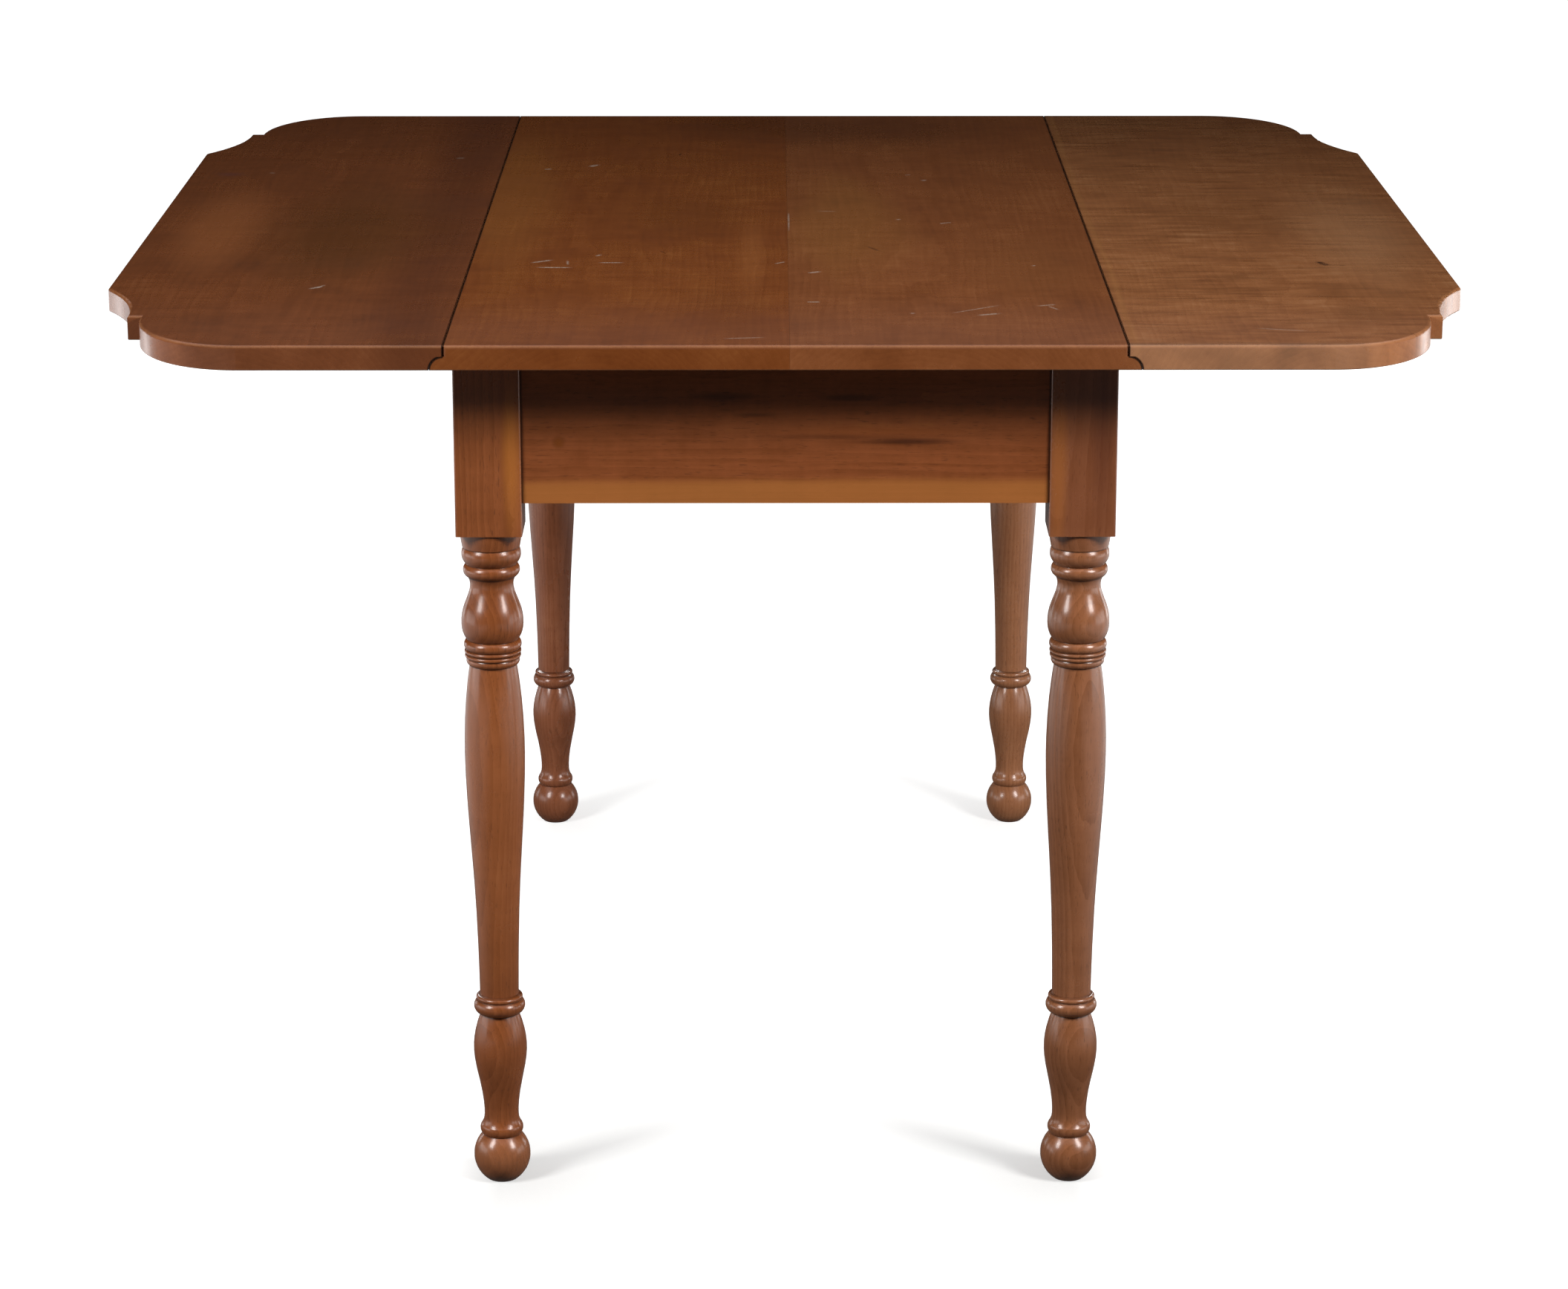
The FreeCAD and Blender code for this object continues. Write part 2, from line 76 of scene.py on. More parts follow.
# soft wavy-edged stripes of another colour, such as sapwood, dirt along a joint, painted shade and
# painted sheen
def addBands(tree, place, wobble, colour, bands):
    axes = addNode(tree, "SeparateXYZ", {0: place})
    for band in bands:
        shift = addNode(
            tree,
            "Math",
            {0: wobble, 1: band.get("wobble", 0) * mm, 2: axes.outputs[band["axis"]]},
            operation="MULTIPLY_ADD",
        )
        middle = (band["start"] + band["end"]) / 2
        half = (band["end"] - band["start"]) / 2
        away = addNode(tree, "Math", {0: shift.outputs[0], 1: middle * mm}, operation="SUBTRACT")
        size = addNode(tree, "Math", {0: away.outputs[0]}, operation="ABSOLUTE")
        mask = addNode(
            tree,
            "MapRange",
            {
                "Value": size.outputs[0],
                "From Min": (half + band["soft"]) * mm,
                "From Max": max(half - band["soft"], 0) * mm,
                "To Max": band["amount"],
            },
            interpolation_type="SMOOTHSTEP",
        )
        onFace = addNode(
            tree,
            "Math",
            {0: axes.outputs["Z"], 1: band.get("above", 0) * mm},
            operation="GREATER_THAN",
        )
        kept = addNode(tree, "Math", {0: mask.outputs[0], 1: onFace.outputs[0]}, operation="MULTIPLY")
        mix = addNode(
            tree,
            "Mix",
            {"Factor": kept.outputs[0], "A": colour, "B": toLinear(band["colour"])},
            data_type="RGBA",
        )
        colour = mix.outputs["Result"]
    return colour


# dirt in the joint of a leaf: straight down from the surface, then round the quarter circle
def addJointLine(tree, place, colour, joint):
    axisPlace = (joint["axis"][0] * mm, 0, joint["axis"][1] * mm)
    fromAxis = addNode(tree, "VectorMath", {0: place, 1: axisPlace}, operation="SUBTRACT")
    flat = addNode(tree, "VectorMath", {0: fromAxis.outputs[0], 1: (1, 0, 1)}, operation="MULTIPLY")
    radius = addNode(tree, "VectorMath", {0: flat.outputs[0]}, operation="LENGTH")
    fromRound = addNode(
        tree, "Math", {0: radius.outputs["Value"], 1: joint["round"] * mm}, operation="SUBTRACT"
    )
    nearRound = addNode(tree, "Math", {0: fromRound.outputs[0]}, operation="ABSOLUTE")
    axes = addNode(tree, "SeparateXYZ", {0: flat.outputs[0]})
    # the round ends at the axis: towards the middle of the table the distance is counted longer
    stretch = -math.copysign(joint["stretch"], joint["axis"][0])
    inward = addNode(tree, "Math", {0: axes.outputs["X"], 1: stretch}, operation="MULTIPLY")
    onlyOutside = addNode(tree, "Math", {0: inward.outputs[0], 1: 0.0}, operation="MAXIMUM")
    toRound = addNode(
        tree, "Math", {0: nearRound.outputs[0], 1: onlyOutside.outputs[0]}, operation="ADD"
    )
    toLine = addNode(tree, "Math", {0: axes.outputs["X"]}, operation="ABSOLUTE")
    isLine = addNode(
        tree, "Math", {0: axes.outputs["Z"], 1: joint["round"] * mm}, operation="GREATER_THAN"
    )
    away = addNode(
        tree,
        "Mix",
        {"Factor": isLine.outputs[0], "A": toRound.outputs[0], "B": toLine.outputs[0]},
        data_type="FLOAT",
    )
    mask = addNode(
        tree,
        "MapRange",
        {
            "Value": away.outputs["Result"],
            "From Min": joint["width"] * mm,
            "From Max": joint["core"] * joint["width"] * mm,
            "To Max": joint["amount"],
        },
    )
    # full on the upper face and the ends, faint on the rounds that show when a leaf is down
    facing = addNode(tree, "SeparateXYZ", {0: addNode(tree, "TexCoord").outputs["Normal"]})
    endways = addNode(tree, "Math", {0: facing.outputs["Y"]}, operation="ABSOLUTE")
    limit = joint["facing"]
    onEnd = addNode(tree, "Math", {0: endways.outputs[0], 1: limit}, operation="GREATER_THAN")
    upward = addNode(tree, "Math", {0: facing.outputs["Z"], 1: limit}, operation="GREATER_THAN")
    fillet = joint["fillet"] * mm
    high = addNode(tree, "Math", {0: axes.outputs["Z"], 1: fillet}, operation="GREATER_THAN")
    onTop = addNode(tree, "Math", {0: upward.outputs[0], 1: high.outputs[0]}, operation="MULTIPLY")
    shown = addNode(tree, "Math", {0: onEnd.outputs[0], 1: onTop.outputs[0]}, operation="MAXIMUM")
    share = addNode(tree, "MapRange", {"Value": shown.outputs[0], "To Min": joint["inside"]})
    dirt = addNode(tree, "Math", {0: mask.outputs[0], 1: share.outputs[0]}, operation="MULTIPLY")
    return addNode(
        tree,
        "Mix",
        {"Factor": dirt.outputs[0], "A": colour, "B": toLinear(joint["colour"])},
        data_type="RGBA",
    ).outputs["Result"]


# soft round patches: cloudy stain, pale rubbed places, small marks, painted shade and painted reflection
patchShape = {"core": 0.15, "ragged": 0.6}


def addPatches(tree, place, wobble, colour, patches):
    for patch in patches:
        sizes = [1 / (size * mm) for size in patch["size"]]
        centre = [-value * mm * scale for value, scale in zip(patch["centre"], sizes)]
        inside = addNode(tree, "Mapping", {"Vector": place, "Location": centre, "Scale": sizes})
        distance = addNode(tree, "VectorMath", {0: inside.outputs[0]}, operation="LENGTH")
        uneven = addNode(
            tree,
            "Math",
            {
                0: wobble,
                1: patch.get("ragged", patchShape["ragged"]),
                2: distance.outputs["Value"],
            },
            operation="MULTIPLY_ADD",
        )
        mask = addNode(
            tree,
            "MapRange",
            {
                "Value": uneven.outputs[0],
                "From Min": 1.0,
                "From Max": patchShape["core"],
                "To Max": patch["amount"],
            },
            interpolation_type="SMOOTHSTEP",
        )
        mix = addNode(
            tree,
            "Mix",
            {"Factor": mask.outputs[0], "A": colour, "B": toLinear(patch["colour"])},
            data_type="RGBA",
        )
        colour = mix.outputs["Result"]
    return colour


# thin scratches: the distance to a straight stroke, broken up by a fine noise; strokes longer than
# the short ones, in mm, thin out towards their ends
strokeShape = {"core": 0.2, "short": 9, "taper": 0.3, "faintEnd": 0.15, "colour": "#d6c2b2"}


def addScratches(tree, place, breakUp, colour, scratches):
    for scratch in scratches:
        start = Vector((*scratch["start"], topHeight)) * mm
        run = Vector((*scratch["end"], topHeight)) * mm - start
        fromStart = addNode(tree, "VectorMath", {0: place, 1: start}, operation="SUBTRACT")
        along = addNode(
            tree,
            "VectorMath",
            {0: fromStart.outputs[0], 1: run / run.length_squared},
            operation="DOT_PRODUCT",
        )
        kept = addNode(tree, "Clamp", {"Value": along.outputs["Value"]})
        onStroke = addNode(
            tree, "VectorMath", {0: run, "Scale": kept.outputs[0]}, operation="SCALE"
        )
        away = addNode(
            tree,
            "VectorMath",
            {0: fromStart.outputs[0], 1: onStroke.outputs[0]},
            operation="DISTANCE",
        )
        mask = addNode(
            tree,
            "MapRange",
            {
                "Value": away.outputs["Value"],
                "From Min": scratch["width"] * mm,
                "From Max": strokeShape["core"] * scratch["width"] * mm,
                "To Max": scratch["amount"],
            },
        )
        stroke = mask.outputs[0]
        if run.length > strokeShape["short"] * mm:
            fromMiddle = addNode(tree, "Math", {0: kept.outputs[0], 1: 0.5}, operation="SUBTRACT")
            toEnd = addNode(tree, "Math", {0: fromMiddle.outputs[0]}, operation="ABSOLUTE")
            taper = addNode(
                tree,
                "MapRange",
                {
                    "Value": toEnd.outputs[0],
                    "From Min": 0.5,
                    "From Max": strokeShape["taper"],
                    "To Min": strokeShape["faintEnd"],
                },
            )
            stroke = addNode(
                tree, "Math", {0: stroke, 1: taper.outputs[0]}, operation="MULTIPLY"
            ).outputs[0]
        broken = addNode(tree, "Math", {0: stroke, 1: breakUp}, operation="MULTIPLY")
        tint = toLinear(scratch.get("colour", strokeShape["colour"]))
        mix = addNode(
            tree,
            "Mix",
            {"Factor": broken.outputs[0], "A": colour, "B": tint},
            data_type="RGBA",
        )
        colour = mix.outputs["Result"]
    return colour


# sizes of the wood's patterns in mm, across and along the grain; pores are 0.1 mm wide and drawn
# coarser so that they show
pattern = {
    "waver": (70, 420),
    "streaks": (3.0, 160),
    "pores": (0.9, 9),
    "clouds": (90, 150),
    "figure": (46, 13),
    "dashes": (80, 7),
    "poreShare": 0.35,
    "poreColour": "#2c170d",
    "toneStops": (0.0, 1.0, 0.35, 0.62),
    "rubbedColour": "#a97a54",
    "sheenSpread": 0.05,
    "relief": 0.12,
    "reliefDepth": 0.2,
    "filmIor": 1.45,
    "coatRough": 0.14,
}


# Cherry, sawn or turned, stained and lacquered. Solid rings round a pith give cathedrals on flat
# faces, bull's eyes on beads and arcs on end grain; the stain clouds it and the film gives a satin
# gloss. Poplar, planed and thinly stained, has the same pattern and stays nearly matt.
def finishedWood(name, look):
    material, tree = newMaterial(name)
    grain = look["grain"]
    place = addNode(tree, "TexCoord").outputs["Object"]
    seed = look["seed"]

    waver = addNode(
        tree,
        "Mapping",
        {
            "Vector": place,
            "Location": (seed, seed, seed),
            "Scale": alongGrain(grain, *pattern["waver"]),
        },
    )
    wander = addNode(
        tree,
        "TexNoise",
        {"Vector": waver.outputs[0], "Scale": 1.0, "Detail": 3.0, "Roughness": 0.5},
    )
    wobble = addNode(
        tree, "Math", {0: wander.outputs[0], 1: 0.5}, operation="SUBTRACT"
    ).outputs[0]
    offset = addNode(
        tree,
        "VectorMath",
        {0: wander.outputs["Color"], 1: (look["waver"] * mm,) * 3, 2: place},
        operation="MULTIPLY_ADD",
    )

    # growth rings round the pith
    fromPith = addNode(
        tree,
        "VectorMath",
        {0: offset.outputs[0], 1: Vector(look["pith"]) * mm},
        operation="SUBTRACT",
    )
    rings = addNode(
        tree,
        "TexWave",
        {
            "Vector": fromPith.outputs[0],
            "Scale": 2 * math.pi / 20 / (look["ring"] * mm),  # a wave repeats every 2 pi / 20
            "Distortion": 1.2,
            "Detail": 2.0,
            "Detail Scale": 0.6,
        },
        wave_type="RINGS",
        rings_direction=grain,
        wave_profile="SAW",
    )

    # fibre streaks
    streakPlace = addNode(
        tree,
        "Mapping",
        {
            "Vector": offset.outputs[0],
            "Location": (seed, 0, seed),
            "Scale": alongGrain(grain, *pattern["streaks"]),
        },
    )
    streaks = addNode(
        tree,
        "TexNoise",
        {"Vector": streakPlace.outputs[0], "Scale": 1.0, "Detail": 4.0, "Roughness": 0.6},
    )

    # pores, as short dark lines
    porePlace = addNode(
        tree,
        "Mapping",
        {
            "Vector": offset.outputs[0],
            "Location": (0, seed, 0),
            "Scale": alongGrain(grain, *pattern["pores"]),
        },
    )
    poreNoise = addNode(
        tree, "TexNoise", {"Vector": porePlace.outputs[0], "Scale": 1.0, "Detail": 1.0}
    )
    pores = addNode(
        tree,
        "MapRange",
        {"Value": poreNoise.outputs[0], "From Min": 0.36, "From Max": 0.28},
    )

    # stain that took unevenly
    cloudPlace = addNode(
        tree,
        "Mapping",
        {
            "Vector": place,
            "Location": (seed, 0, 0),
            "Scale": alongGrain(grain, *pattern["clouds"]),
        },
    )
    clouds = addNode(
        tree,
        "TexNoise",
        {"Vector": cloudPlace.outputs[0], "Scale": 1.0, "Detail": 6.0, "Roughness": 0.7},
    )

    # ripple figure across the grain
    figurePlace = addNode(
        tree,
        "Mapping",
        {
            "Vector": offset.outputs[0],
            "Location": (0, 0, seed),
            "Scale": alongGrain(grain, *pattern["figure"]),
        },
    )
    figure = addNode(
        tree,
        "TexNoise",
        {"Vector": figurePlace.outputs[0], "Scale": 1.0, "Detail": 2.0, "Roughness": 0.55},
    )

    tone = 0.5
    shares = [(rings, "rings"), (streaks, "streaks"), (clouds, "clouds"), (figure, "figure")]
    for source, share in shares:
        centred = addNode(
            tree, "Math", {0: source.outputs["Fac"], 1: 0.5}, operation="SUBTRACT"
        )
        tone = addNode(
            tree,
            "Math",
            {0: centred.outputs[0], 1: look[share], 2: tone},
            operation="MULTIPLY_ADD",
        ).outputs[0]
    ramp = addNode(
        tree,
        "ValToRGB",
        {"Fac": tone},
        ramp=list(zip(pattern["toneStops"], look["colours"])),
    )
    poreMix = addNode(
        tree,
        "Math",
        {0: pores.outputs[0], 1: look.get("pores", pattern["poreShare"])},
        operation="MULTIPLY",
    )
    colour = addNode(
        tree,
        "Mix",
        {"Factor": poreMix.outputs[0], "A": ramp.outputs[0], "B": toLinear(pattern["poreColour"])},
        data_type="RGBA",
    ).outputs["Result"]

    # dark dashes across the grain
    dashPlace = addNode(
        tree,
        "Mapping",
        {
            "Vector": place,
            "Location": (seed, seed, 0),
            "Scale": alongGrain(grain, *pattern["dashes"]),
        },
    )
    dashNoise = addNode(
        tree,
        "TexNoise",
        {"Vector": dashPlace.outputs[0], "Scale": 1.0, "Detail": 3.0, "Roughness": 0.6},
    )
    dashes = addNode(
        tree,
        "MapRange",
        {"Value": dashNoise.outputs[0], "From Min": 0.5, "From Max": 0.3, "To Max": look["dashes"]},
    )
    colour = addNode(
        tree,
        "Mix",
        {"Factor": dashes.outputs[0], "A": colour, "B": toLinear(look["colours"][0])},
        data_type="RGBA",
    ).outputs["Result"]
    colour = addBands(tree, place, wobble, colour, look.get("bands", []))
    colour = addPatches(tree, place, wobble, colour, look.get("patches", []))
    scratchBreak = addNode(
        tree,
        "MapRange",
        {"Value": poreNoise.outputs[0], "From Min": 0.36, "From Max": 0.54, "To Min": 0.4},
    )
    colour = addScratches(tree, place, scratchBreak.outputs[0], colour, look.get("scratches", []))

    # sawn across the grain the wood drinks more stain
    normal = addNode(tree, "SeparateXYZ", {0: addNode(tree, "TexCoord").outputs["Normal"]})
    endways = addNode(tree, "Math", {0: normal.outputs[grain]}, operation="ABSOLUTE")
    endMask = addNode(
        tree,
        "MapRange",
        {"Value": endways.outputs[0], "From Min": 0.5, "From Max": 0.95, "To Max": look["endGrain"]},
        interpolation_type="SMOOTHSTEP",
    )
    colour = addNode(
        tree,
        "Mix",
        {"Factor": endMask.outputs[0], "A": colour, "B": toLinear(look["colours"][0])},
        data_type="RGBA",
    ).outputs["Result"]

    # upper and lower arrises, rubbed paler in places
    tilt = addNode(tree, "Math", {0: normal.outputs["Z"]}, operation="ABSOLUTE")
    awayFromSide = addNode(
        tree,
        "MapRange",
        {"Value": tilt.outputs[0], "From Min": 0.15, "From Max": 0.45, "To Max": look["wear"]},
    )
    awayFromFlat = addNode(
        tree, "MapRange", {"Value": tilt.outputs[0], "From Min": 0.97, "From Max": 0.85}
    )
    arris = addNode(
        tree, "Math", {0: awayFromSide.outputs[0], 1: awayFromFlat.outputs[0]}, operation="MULTIPLY"
    )
    rubbed = addNode(
        tree, "Math", {0: arris.outputs[0], 1: scratchBreak.outputs[0]}, operation="MULTIPLY"
    )
    colour = addNode(
        tree,
        "Mix",
        {"Factor": rubbed.outputs[0], "A": colour, "B": toLinear(pattern["rubbedColour"])},
        data_type="RGBA",
    ).outputs["Result"]
    if "joint" in look:
        colour = addJointLine(tree, place, colour, look["joint"])

    # the film is thinner where the cloth rubbed, and the grain telegraphs through it
    rough = addNode(
        tree,
        "MapRange",
        {
            "Value": clouds.outputs["Fac"],
            "From Min": 0.3,
            "From Max": 0.7,
            "To Min": look["rough"] + pattern["sheenSpread"],
            "To Max": look["rough"] - pattern["sheenSpread"],
        },
    )
    height = addNode(
        tree,
        "Math",
        {0: pores.outputs[0], 1: -0.5, 2: streaks.outputs["Fac"]},
        operation="MULTIPLY_ADD",
    )
    relief = addNode(
        tree,
        "Bump",
        {
            "Height": height.outputs[0],
            "Strength": look.get("relief", pattern["relief"]),
            "Distance": pattern["reliefDepth"] * mm,
        },
    )
    surface = addNode(
        tree,
        "BsdfPrincipled",
        {
            "Base Color": colour,
            "Roughness": rough.outputs[0],
            "Normal": relief.outputs[0],
            "IOR": pattern["filmIor"],
            "Specular IOR Level": look["gloss"],
            "Coat Weight": look["coat"],
            "Coat Roughness": pattern["coatRough"],
            "Coat IOR": pattern["filmIor"],
        },
    )
    addNode(tree, "OutputMaterial", {"Surface": surface.outputs[0]})
    return material


# centre top: two boards with the same finish, each with its own rings
boardLook = {
    "grain": "Y",
    "waver": 26,
    "ring": 5.0,
    "rings": 0.1,
    "streaks": 0.34,
    "clouds": 1.3,
    "figure": 0.35,
    "pores": 0.15,
    "dashes": 0.16,
    "endGrain": 0.5,
    "wear": 0.3,
    "relief": 0.04,
    "rough": 0.28,
    "gloss": 0.4,
    "coat": 0.0,
}
darkMark = "#26130a"
leftJoint = {
    "axis": (-270, 717),
    "round": 11.2,
    "fillet": 16,
    "stretch": 5,
    "width": 1.5,
    "core": 0.5,
    "facing": 0.6,
    "inside": 0.4,
    "colour": "#170b06",
    "amount": 0.95,
}
rightJoint = dict(leftJoint, axis=(270, 717))
# on the upper face only: painted shade, darker towards the rear edge where the light falls off
upperFace = {"axis": "Y", "above": 734}
rearPaintedShade = dict(upperFace, start=380, end=900, soft=210, wobble=160, colour="#2e160c", amount=0.12)
# painted sheen, paler along the front edge
frontPaintedSheen = dict(upperFace, start=-800, end=-440, soft=100, wobble=60, colour="#a8796a", amount=0.13)
topLeft = dict(
    boardLook,
    colours=("#5a2d0f", "#ae6c3a", "#7e431d", "#915228"),
    seed=3.1,
    pith=(-150, 0, 640),
    bands=[rearPaintedShade, frontPaintedSheen],
    joint=leftJoint,
    patches=[
        {"centre": (-250, 40, topHeight), "size": (55, 460, 300),
         "colour": "#b07338", "amount": 0.26, "ragged": 1.3},
        {"centre": (-45, -430, topHeight), "size": (60, 160, 300), "colour": "#6a381c", "amount": 0.28},
        {"centre": (-90, -10, topHeight), "size": (75, 160, 300), "colour": "#6a3a18", "amount": 0.35},
        {"centre": (-28, -200, topHeight), "size": (16, 230, 300), "colour": "#b87440", "amount": 0.26},
        # painted shade: a dark patch at the rear middle, where the light falls off
        {"centre": (-10, 500, topHeight), "size": (190, 150, 300), "colour": "#2e170e", "amount": 0.4},
    ],
    scratches=[
        {"start": (-217, -225), "end": (-201, -213), "width": 2.6, "amount": 0.8},
        {"start": (-211, -246), "end": (-183, -247), "width": 2.6, "amount": 0.85},
        {"start": (-159, -225), "end": (-139, -225), "width": 2.2, "amount": 0.75},
        {"start": (-162, -194), "end": (-160, -190), "width": 2.2, "amount": 0.6},
        {"start": (-187, -216), "end": (-186, -234), "width": 1.4, "amount": 0.5},
        {"start": (-186, 258), "end": (-179, 268), "width": 3.6, "amount": 0.9},
        {"start": (-227, 243), "end": (-225, 244), "width": 3.0, "amount": 0.7},
        {"start": (-7, -229), "end": (-1, -223), "width": 1.8, "amount": 0.6},
        {"start": (-49, -538), "end": (-17, -534), "width": 1.5, "amount": 0.55},
        {"start": (-101, 322), "end": (-100, 333), "width": 1.6, "amount": 0.7, "colour": darkMark},
        {"start": (-108, -172), "end": (-103, -184), "width": 1.3, "amount": 0.6, "colour": darkMark},
    ],
)
topRight = dict(
    boardLook,
    colours=("#5f3317", "#b27348", "#824a27", "#965a34"),
    seed=7.7,
    pith=(120, 0, 652),
    bands=[
        rearPaintedShade,
        frontPaintedSheen,
        # glue seam
        {"axis": "X", "start": 2.4, "end": 3.3, "soft": 0.5, "colour": darkMark, "amount": 0.5},
    ],
    joint=rightJoint,
    patches=[
        {"centre": (60, -60, topHeight), "size": (70, 330, 300),
         "colour": "#b07a3c", "amount": 0.2, "ragged": 1.4},
        # painted shade: a dark patch at the rear middle, where the light falls off
        {"centre": (60, 480, topHeight), "size": (220, 150, 300), "colour": "#301810", "amount": 0.4},
        {"centre": (215, -250, topHeight), "size": (70, 200, 300), "colour": "#85522c", "amount": 0.3},
    ],
    scratches=[
        {"start": (22, -270), "end": (29, -266), "width": 2.6, "amount": 0.75},
        {"start": (20, -394), "end": (27, -394), "width": 2.3, "amount": 0.7},
        {"start": (136, -439), "end": (176, -408), "width": 1.6, "amount": 0.5},
        {"start": (157, -448), "end": (174, -441), "width": 3.2, "amount": 0.6},
        {"start": (207, -411), "end": (222, -405), "width": 2.5, "amount": 0.55},
        {"start": (216, -412), "end": (223, -426), "width": 1.5, "amount": 0.5},
        {"start": (103, -440), "end": (104, -440), "width": 2.2, "amount": 0.6},
        {"start": (30, 20), "end": (48, 18), "width": 1.9, "amount": 0.4},
        {"start": (142, -42), "end": (149, -38), "width": 2.3, "amount": 0.6},
        {"start": (103, -23), "end": (104, -22), "width": 2.5, "amount": 0.6},
        {"start": (133, 180), "end": (134, 181), "width": 3.0, "amount": 0.7},
        {"start": (213, -240), "end": (214, -239), "width": 2.2, "amount": 0.5},
        {"start": (4.4, 11), "end": (4.4, -77), "width": 1.1, "amount": 0.5},
        {"start": (118, 210), "end": (120, 211), "width": 2.2, "amount": 0.5},
        {"start": (72, -150), "end": (84, -175), "width": 1.8, "amount": 0.7, "colour": darkMark},
    ],
)
dress(finishedWood("cherryPlanedLacquered_topLeft", topLeft), "top_board_left")
dress(finishedWood("cherryPlanedLacquered_topRight", topRight), "top_board_right")

# leaves: the left one darker in the middle, the right one paler with a rippled figure
leftLeafLook = dict(
    boardLook,
    colours=("#532b13", "#ad6d44", "#7a4424", "#8e522f"),
    seed=11.3,
    pith=(-420, 0, 655),
    bands=[
        rearPaintedShade,
        dict(frontPaintedSheen, amount=0.07),
        {"axis": "X", "start": -330, "end": -268, "soft": 28, "wobble": 30,
         "colour": "#4a261a", "amount": 0.45},
    ],
    joint=leftJoint,
    patches=[
        {"centre": (-385, -100, topHeight), "size": (120, 330, 300), "colour": "#573517", "amount": 0.6},
        {"centre": (-505, -60, topHeight), "size": (55, 280, 300), "colour": "#b46e40", "amount": 0.5},
        {"centre": (-528, 215, topHeight), "size": (20, 14, 300), "colour": "#5a3a48", "amount": 0.35},
    ],
    scratches=[
        {"start": (-397, -338), "end": (-388, -328), "width": 2.6, "amount": 0.7},
        {"start": (-391, -335), "end": (-386, -322), "width": 1.6, "amount": 0.55},
        {"start": (-316, 306), "end": (-313, 307), "width": 3.0, "amount": 0.6},
        {"start": (-490, 223), "end": (-488, 223), "width": 2.5, "amount": 0.5},
    ],
)
rightLeafLook = dict(
    boardLook,
    colours=("#704425", "#cc9063", "#996039", "#af7247"),
    figure=0.75,
    streaks=0.24,
    dashes=0.55,
    endGrain=0.25,
    seed=15.9,
    pith=(450, 0, 648),
    bands=[
        dict(rearPaintedShade, amount=0.36),
        frontPaintedSheen,
        {"axis": "X", "start": 273, "end": 278, "soft": 2.5, "wobble": 9,
         "colour": "#c48a50", "amount": 0.2},
        {"axis": "Y", "start": -700, "end": -560, "soft": 12, "colour": "#968c7c", "amount": 0.25},
    ],
    joint=rightJoint,
    patches=[
        {"centre": (400, -10, topHeight), "size": (90, 130, 300), "colour": "#7c4c28", "amount": 0.3},
        # painted reflection: paler over the outer part of the leaf
        {"centre": (505, -110, topHeight), "size": (75, 330, 300), "colour": "#c8946a", "amount": 0.36},
        {"centre": (470, -440, topHeight), "size": (40, 50, 300), "colour": "#74482a", "amount": 0.4},
    ],
    scratches=[
        {"start": (459, -222), "end": (466, -240), "width": 4.5, "amount": 0.95, "colour": darkMark},
        {"start": (464, -236), "end": (482, -240), "width": 1.4, "amount": 0.6, "colour": darkMark},
        {"start": (378, -500), "end": (418, -511), "width": 1.3, "amount": 0.5},
        {"start": (510, 40), "end": (530, 44), "width": 1.2, "amount": 0.4, "colour": darkMark},
    ],
)
dress(finishedWood("cherryPlanedLacquered_leafLeft", leftLeafLook), "left_leaf")
dress(finishedWood("cherryPlanedLacquered_leafRight", rightLeafLook), "right_leaf")
print("top boards and leaves finished")

# turned legs: the pith lies outside the square blank, so the rings run as streaks and bull's eyes
legLook = {
    "grain": "Z",
    "waver": 14,
    "ring": 3.6,
    "rings": 0.16,
    "streaks": 0.3,
    "clouds": 0.8,
    "figure": 0.1,
    "dashes": 0.05,
    "endGrain": 0.25,
    "wear": 0.0,
    "rough": 0.28,
    "gloss": 0.4,
    "coat": 0.25,
    "grooves": (553.4, 539.4, 528.2, 475.8, 467.1, 463.3, 459.5, 453.5, 166.0, 161.4, 149.0, 40.7),
    "groove": {"axis": "Z", "soft": 0.8, "colour": "#2a140a", "amount": 0.55},
    "grooveHalf": 0.5,
    "firstSeed": 21.0,
    "seedStep": 3.7,
}
legs = {
    "front_left_leg": {
        "pith": (38, 30),
        "colours": ("#582a10", "#ab6c42", "#7c4320", "#92532e"),
        "bands": [
            {"axis": "Z", "start": 175, "end": 450, "soft": 20, "wobble": 20,
             "colour": "#c47844", "amount": 0.11},
            {"axis": "Z", "start": -20, "end": 38, "soft": 3, "colour": "#b88462", "amount": 0.18},
        ],
        "patches": [
            {"centre": (-221, -511, 635), "size": (11, 40, 90), "colour": "#b06a2a", "amount": 0.6},
        ],
    },
    "front_right_leg": {
        "pith": (-12, 44),
        "colours": ("#562e18", "#ae774f", "#7e4c2d", "#945e3e"),
        "bands": [
            {"axis": "Z", "start": 566, "end": 800, "soft": 14, "wobble": 20,
             "colour": "#642d14", "amount": 0.45},
        ],
        "patches": [
            {"centre": (220, -511, 625), "size": (10, 40, 100), "colour": "#a46028", "amount": 0.45},
            {"centre": (255, -511, 650), "size": (14, 40, 110), "colour": "#4a2012", "amount": 0.4},
        ],
    },
    # the rear legs' colours are lighter than the front ones: partly their own wood, partly painted light
    # that makes up for the shade of the top on them
    "rear_left_leg": {"pith": (30, -36), "colours": ("#582e1a", "#b57955", "#814a2e", "#9a5d3f")},
    "rear_right_leg": {"pith": (-40, -22), "colours": ("#6c4227", "#ce966d", "#97603e", "#af7652")},
}
